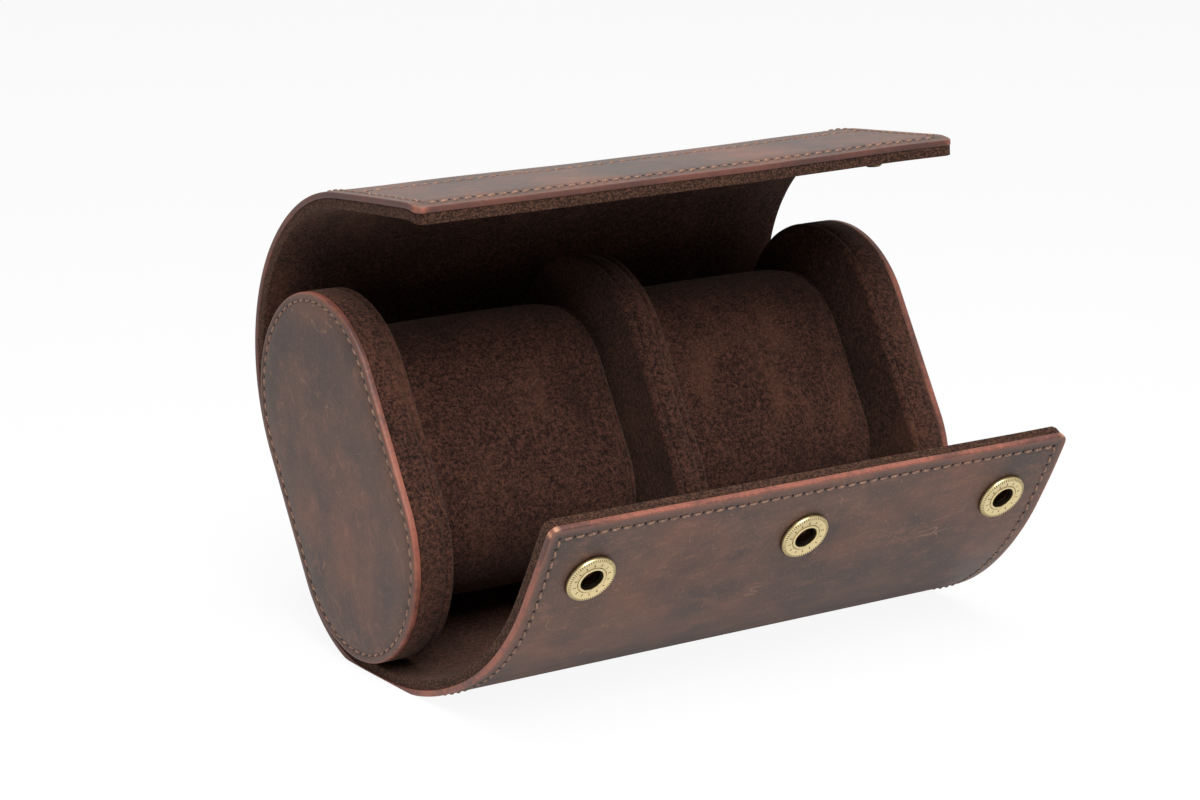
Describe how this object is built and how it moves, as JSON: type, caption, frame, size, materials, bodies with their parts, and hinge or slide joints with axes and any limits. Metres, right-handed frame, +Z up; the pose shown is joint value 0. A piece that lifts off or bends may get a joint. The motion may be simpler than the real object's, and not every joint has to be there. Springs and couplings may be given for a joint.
{
  "type": "watch roll case",
  "caption": "Leather watch roll case with a suede-lined wrap curved around oval walls, soft watch pillows in side-by-side bays, and overlapping flaps closed by snap fasteners.",
  "frame": {"origin": "middle of the base box of the open case, on the surface that it stands on", "axes": "+X along the case from its left end to its right end, seen from the open front; +Y from the open front to the back; +Z up"},
  "size_m": [0.158, 0.1312, 0.1184],
  "materials": {
    "leather": "satin",
    "suede": "matte",
    "board": "matte",
    "foam": "matte",
    "antique_brass": "satin",
    "spring_steel": "satin"
  },
  "bodies": {
    "case": {"spine_leather": "leather", "spine_lining": "suede", "left_end_leather": "leather", "left_end_board": "board", "left_end_band": "suede", "left_end_facing": "suede", "right_end_leather": "leather", "right_end_board": "board", "right_end_band": "suede", "right_end_facing": "suede", "divider_board": "board", "divider_band": "suede", "divider_left_facing": "suede", "divider_right_facing": "suede"},
    "rear_crown": {"rear_crown_leather": "leather", "rear_crown_lining": "suede"},
    "front_crown": {"front_crown_leather": "leather", "front_crown_lining": "suede"},
    "top_flap": {"top_flap_leather": "leather", "top_flap_lining": "suede", "snap_studs": "antique_brass", "stud_strip": "leather"},
    "front_bend": {"front_bend_leather": "leather", "front_bend_lining": "suede"},
    "front_flap": {"front_flap_leather": "leather", "front_flap_lining": "suede", "snap_sockets": "antique_brass", "socket_springs": "spring_steel", "socket_posts": "antique_brass"},
    "left_pillow": {"left_pillow_sleeve": "suede", "left_pillow_foam": "foam", "left_pillow_ends": "suede"},
    "right_pillow": {"right_pillow_sleeve": "suede", "right_pillow_foam": "foam", "right_pillow_ends": "suede"}
  },
  "joints": [
    {"name": "top_fold", "type": "hinge", "parent": "case", "child": "rear_crown", "pos_m": [0, 0.06355, 0.06533], "axis": [-1, 0, 0], "range_deg": [-22.55, 25]},
    {"name": "crown_bend", "type": "hinge", "parent": "rear_crown", "child": "front_crown", "pos_m": [0, 0.04997, 0.09982], "axis": [-1, 0, 0], "range_deg": [-12.2, 13.55]},
    {"name": "top_tip_bend", "type": "hinge", "parent": "front_crown", "child": "top_flap", "pos_m": [0, 0.01478, 0.11321], "axis": [-1, 0, 0], "range_deg": [-26.85, 20]},
    {"name": "front_fold", "type": "hinge", "parent": "case", "child": "front_bend", "pos_m": [0, 0.00113, 0.00083], "axis": [1, 0, 0], "range_deg": [-29.5, 0]},
    {"name": "front_tip_bend", "type": "hinge", "parent": "front_bend", "child": "front_flap", "pos_m": [0, -0.02674, 0.00823], "axis": [1, 0, 0], "range_deg": [-32, 35]},
    {"name": "left_pillow_slide", "type": "slide", "parent": "case", "child": "left_pillow", "axis": [0, -0.8517, 0.524], "range_m": [0, 0.11]},
    {"name": "right_pillow_slide", "type": "slide", "parent": "case", "child": "right_pillow", "axis": [0, -0.8517, 0.524], "range_m": [0, 0.11]}
  ],
  "couplings": [
    {"joint": "crown_bend", "follows": "top_fold", "ratio": 0.54097}
  ]
}
